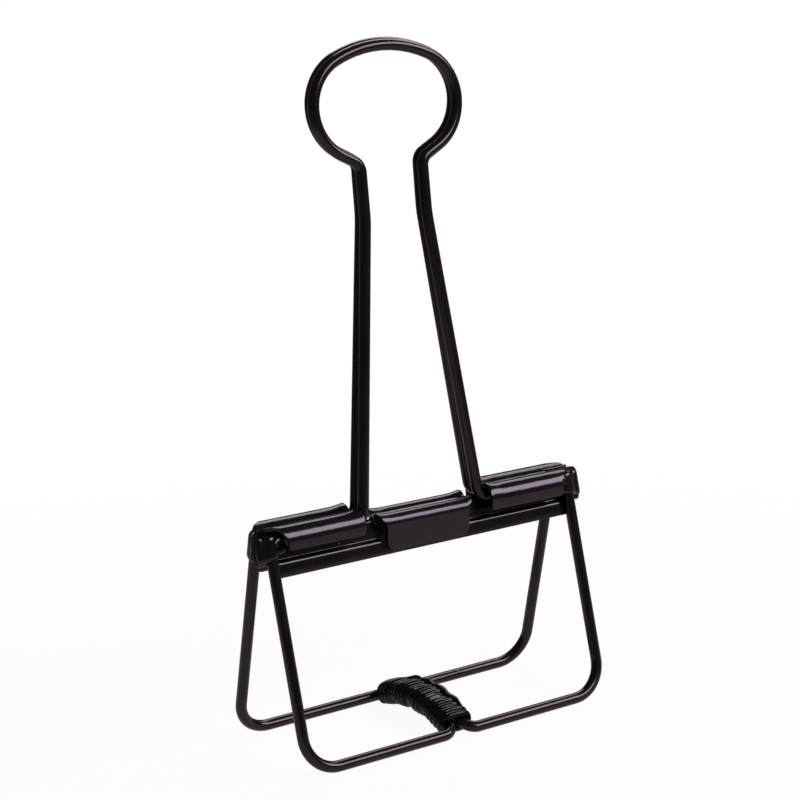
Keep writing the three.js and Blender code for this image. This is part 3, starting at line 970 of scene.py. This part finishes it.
# Enamel that ran together and set in the jaw's hollows: over each leg's bend behind the end tab,
# and across the open ends of the rolls
pool = {
    "inner": 21.3,
    "outerInset": 0.12,  # from the tab's end
    "innerFoot": 27.75,
    "outerFoot": 26.75,
    "top": 30.55,
    "skin": 0.1,  # over the wire
    "sag": 0.5,  # of the skin between the wire and the sheet
    "back": 1.0,  # from the wire's centre to the plate
    "edgeRound": 0.35,
    "rimRound": 0.5,
    "columns": 22,
    "rows": 20,
    "sharpAngle": 60,
    "capInset": 0.05,
    "capDepth": 0.5,
    "capShort": 0.5,  # of the wall's edge
    "capStep": 0.05,  # of the search for the cap's foot
    "capFoot": {"flap": 25.6, "side": 28.1},
    "capSwell": {"flap": -0.4, "side": 0.5},
}


def legPoolMesh(name, side, outer):
    rings = []
    for i in range(pool["columns"] + 1):
        across = i / pool["columns"]
        x = pool["inner"] + (outer - pool["inner"]) * across
        foot = pool["innerFoot"] + (pool["outerFoot"] - pool["innerFoot"]) * across
        offWire = abs(x - stock["legX"]) / stock["wireRadius"]
        sag = pool["sag"] * min(1.0, offWire ** 2 / 2)
        edge = pool["edgeRound"] * nearEnds(across)
        front = []
        back = []
        for k in range(pool["rows"] + 1):
            up = k / pool["rows"]
            z = foot + (pool["top"] - foot) * up
            axisY = stock["hingeOffset"] + (stock["hingeHeight"] - z) * math.tan(legSlope)
            rim = pool["rimRound"] * nearEnds(up)
            skin = stock["wireRadius"] + pool["skin"] - sag - edge - rim
            front.append(Vector((side * x, axisY + skin, z)) * mm)
            back.append(Vector((side * x, axisY - pool["back"] + edge, z)) * mm)
        rings.append(front + back[::-1])
    return sealMesh(name, rings, sheetEnamel, pool["sharpAngle"])


# Half the flap's width at a place on its section
def flapHalfAt(s):
    low = flapSection.pastCrest(jaw["flapTaperFrom"])
    high = flapSection.pastCrest(math.pi / 2)
    share = max(0.0, min(1.0, (s - low) / (high - low)))
    return jaw["flapRollHalf"] + (jaw["flapHalf"] - jaw["flapRollHalf"]) * share


def endCapMesh(name, roll, side, press):
    section = flapSection if roll == "flap" else sideSection
    start = 0.0
    while section.place(start)[0].y < pool["capFoot"][roll]:
        start += pool["capStep"]
    last = section.total - pool["capShort"]
    outline = []
    for s in [start, *section.bendLines(start, last), last]:
        x = side * (jaw["sideRollEnd"] - pool["capInset"])
        if roll == "flap":
            x = press["flapShift"] + side * (flapHalfAt(s) - pool["capInset"])
        outline.append(pressedPlace(x, s, press))
    middle = sum(outline, Vector()) / len(outline)
    rings = []
    for depth, share in ((0, 0.2), (0, 0.5), (0, 0.8), (0, 1.0), (pool["capDepth"], 1.0)):
        swell = pool["capSwell"][roll] * (1 - share ** 2) - depth
        rings.append([middle.lerp(point, share) + Vector((side * swell * mm, 0, 0)) for point in outline])
    return sealMesh(name, rings, sheetEnamel, pool["sharpAngle"])


def makeJaws():
    turned = {"left": "right", "right": "left"}
    for side, press in pressed.items():
        pieces = {f"jaw_{side}_sheet": jawMesh(f"jaw_{side}_sheet", press)}
        for end, sign in (("left", -1), ("right", 1)):
            place = turned[end] if side == "front" else end
            outer = press[end]["end"] - pool["outerInset"]
            pieces[f"jaw_{side}_pool_{place}"] = legPoolMesh("leg_pool", sign, outer)
            for roll in ("flap", "side"):
                pieces[f"jaw_{side}_{roll}_cap_{place}"] = endCapMesh(f"{roll}_cap", roll, sign, press)
        for name, mesh in pieces.items():
            if side == "front":
                mesh.transform(halfTurn)
            addPiece(name, mesh, f"jaw_{side}", f"{side}_side")


makeJaws()
print("jaws: two bent sheets")


# Stage: a white table that runs out of sight. What the enamel mirrors in it is a painted pool of lamp light
# round the clip, a glow with no lamp behind it, then a dark table beyond it and a dim room.
stage = {
    "floorHalf": 6000,
    "floorTone": "#f2f2f3",
    "grainSize": 25,
    # a pool of lamp light painted as glow on the table, seen only in reflections, in a warm painted tone
    "paintedLightCentre": (0, -70, 0),
    "paintedLightInner": 90,
    "paintedLightOuter": 300,
    "paintedLightMirrored": 0.57,
    "paintedLightTone": "#fff3ed",
    "paintedLightBeyond": 0.16,
    "seenShare": 0.95,  # of the white near the clip that doesn't depend on the lamps
    "roomLevel": 0.1,  # of the white that the camera sees, for all other rays
}


def makeFloor():
    half = stage["floorHalf"] * mm
    mesh = bpy.data.meshes.new("table_top")
    corners = [(-half, -half, 0), (half, -half, 0), (half, half, 0), (-half, half, 0)]
    mesh.from_pydata(corners, [], [(0, 1, 2, 3)])
    material = bpy.data.materials.new("matteWhiteTable")
    material.use_nodes = True
    tree = material.node_tree
    tree.nodes.clear()
    rays = addNode(tree, "ShaderNodeLightPath")
    # 1 for rays that come by way of the enamel, which see the table as painted light: a glowing pool round
    # the clip that fades to dark
    mirrored = addNode(tree, "ShaderNodeMath", {
        0: rays.outputs["Is Glossy Ray"],
        1: rays.outputs["Is Transmission Ray"],
    }, operation="MAXIMUM").outputs["Value"]
    place = addNode(tree, "ShaderNodeTexCoord")
    grain = addNode(tree, "ShaderNodeTexNoise", {
        "Vector": place.outputs["Object"],
        "Scale": 1 / (stage["grainSize"] * mm),
    })
    bump = addNode(tree, "ShaderNodeBump", {"Strength": 0.02, "Height": grain.outputs["Fac"]})
    surface = addNode(tree, "ShaderNodeBsdfPrincipled", {
        "Base Color": linearColour(stage["floorTone"]),
        "Roughness": 0.8,
        "Normal": bump.outputs["Normal"],
    })
    away = addNode(tree, "ShaderNodeVectorMath", {
        0: place.outputs["Object"],
        1: [c * mm for c in stage["paintedLightCentre"]],
    }, operation="DISTANCE")
    # painted light: the table glows brightest round the clip and fades beyond it, as if the lamps lit only
    # that part
    paintedLight = addNode(tree, "ShaderNodeMapRange", {
        "Value": away.outputs["Value"],
        "From Min": stage["paintedLightInner"] * mm,
        "From Max": stage["paintedLightOuter"] * mm,
        "To Min": stage["paintedLightMirrored"],
        "To Max": stage["paintedLightBeyond"],
    }, interpolation_type="SMOOTHSTEP")
    solid = addNode(tree, "ShaderNodeMapRange", {
        "Value": away.outputs["Value"],
        "From Min": stage["paintedLightInner"] * mm,
        "From Max": stage["paintedLightOuter"] * mm,
        "To Min": stage["seenShare"],
        "To Max": 1.0,
    }, interpolation_type="SMOOTHSTEP")
    paintedReflection = addNode(tree, "ShaderNodeMath", {
        0: mirrored,
        1: paintedLight.outputs["Result"],
    }, operation="MULTIPLY")
    strength = addNode(tree, "ShaderNodeMath", {
        0: rays.outputs["Is Camera Ray"],
        1: paintedReflection.outputs[0],
    }, operation="ADD")
    # a colour Mix node has its factor at input 0, its colours at 6 and 7 and its result at 2
    tone = addNode(tree, "ShaderNodeMix", {
        0: mirrored,
        6: (1, 1, 1, 1),
        7: linearColour(stage["paintedLightTone"]),
    }, data_type="RGBA")
    # the glow: plain white to the camera, and to the enamel the painted pool of light in its warm tone
    white = addNode(tree, "ShaderNodeEmission", {
        "Color": tone.outputs[2],
        "Strength": strength.outputs[0],
    })
    seen = addNode(tree, "ShaderNodeMath", {
        0: rays.outputs["Is Camera Ray"],
        1: solid.outputs["Result"],
    }, operation="MULTIPLY")
    share = addNode(tree, "ShaderNodeMath", {0: seen.outputs[0], 1: mirrored}, operation="ADD")
    mix = addNode(tree, "ShaderNodeMixShader", {
        0: share.outputs[0],
        1: surface.outputs["BSDF"],
        2: white.outputs["Emission"],
    })
    addNode(tree, "ShaderNodeOutputMaterial", {"Surface": mix.outputs["Shader"]})
    mesh.materials.append(material)
    floor = bpy.data.objects.new("table_top", mesh)
    bpy.context.scene.collection.objects.link(floor)


def makeRoom():
    world = bpy.data.worlds.new("dimRoom")
    bpy.context.scene.world = world
    world.use_nodes = True
    tree = world.node_tree
    tree.nodes.clear()
    rays = addNode(tree, "ShaderNodeLightPath")
    strength = addNode(tree, "ShaderNodeMath", {
        0: rays.outputs["Is Camera Ray"],
        1: stage["roomLevel"],
    }, operation="MAXIMUM")
    white = addNode(tree, "ShaderNodeBackground", {
        "Color": (1, 1, 1, 1),
        "Strength": strength.outputs["Value"],
    })
    addNode(tree, "ShaderNodeOutputWorld", {"Surface": white.outputs["Background"]})


# Softboxes, each given by where it hangs as seen from the clip and by how bright its face is
softboxes = {
    "frontSoftbox": {"towards": (0.54, -0.70, 0.56), "width": 520, "height": 230, "radiance": 7.2},
    "backSoftbox": {"towards": (0.54, 0.47, 0.66), "width": 520, "height": 220, "radiance": 3.2},
}
softboxAim = Vector((0, 0, 32))
softboxDistance = 560


def makeLamps():
    for name, box in softboxes.items():
        lamp = bpy.data.lights.new(name, "AREA")
        lamp.shape = "RECTANGLE"
        lamp.size = box["width"] * mm
        lamp.size_y = box["height"] * mm
        lamp.energy = box["radiance"] * math.pi * lamp.size * lamp.size_y
        hung = bpy.data.objects.new(name, lamp)
        towards = Vector(box["towards"]).normalized()
        hung.location = (softboxAim + towards * softboxDistance) * mm
        hung.rotation_mode = "QUATERNION"
        hung.rotation_quaternion = towards.to_track_quat("Z", "Y")
        bpy.context.scene.collection.objects.link(hung)


# The camera, solved from the photograph's straight wires
camera = {
    "focalPixels": 2188.7,
    "imagePixels": 800,
    "sensor": 36,
    "azimuth": -33.395,
    "down": 13.295,
    "roll": -1.81,
    "distance": 283.6,
    "aim": (-2.17, 0, 44.16),
    "clipStart": 10,
    "clipEnd": 20000,
}


def makeCamera():
    data = bpy.data.cameras.new("camera")
    data.sensor_width = camera["sensor"]
    data.lens = camera["focalPixels"] / camera["imagePixels"] * camera["sensor"]
    data.clip_start = camera["clipStart"] * mm
    data.clip_end = camera["clipEnd"] * mm
    azimuth = math.radians(camera["azimuth"])
    down = math.radians(camera["down"])
    roll = math.radians(camera["roll"])
    forward = Vector((
        -math.sin(azimuth) * math.cos(down),
        math.cos(azimuth) * math.cos(down),
        -math.sin(down),
    ))
    right = Vector((math.cos(azimuth), math.sin(azimuth), 0))
    up = right.cross(forward)
    rolledRight = right * math.cos(roll) + up * math.sin(roll)
    rolledUp = up * math.cos(roll) - right * math.sin(roll)
    turned = Matrix((rolledRight, rolledUp, -forward)).transposed()
    spot = bpy.data.objects.new("camera", data)
    spot.matrix_world = Matrix.Translation(
        (Vector(camera["aim"]) - forward * camera["distance"]) * mm
    ) @ turned.to_4x4()
    bpy.context.scene.collection.objects.link(spot)
    bpy.context.scene.camera = spot


makeFloor()
makeRoom()
makeLamps()
makeCamera()
bpy.context.scene.view_settings.view_transform = "Standard"
print("stage: table, room, softboxes and camera")
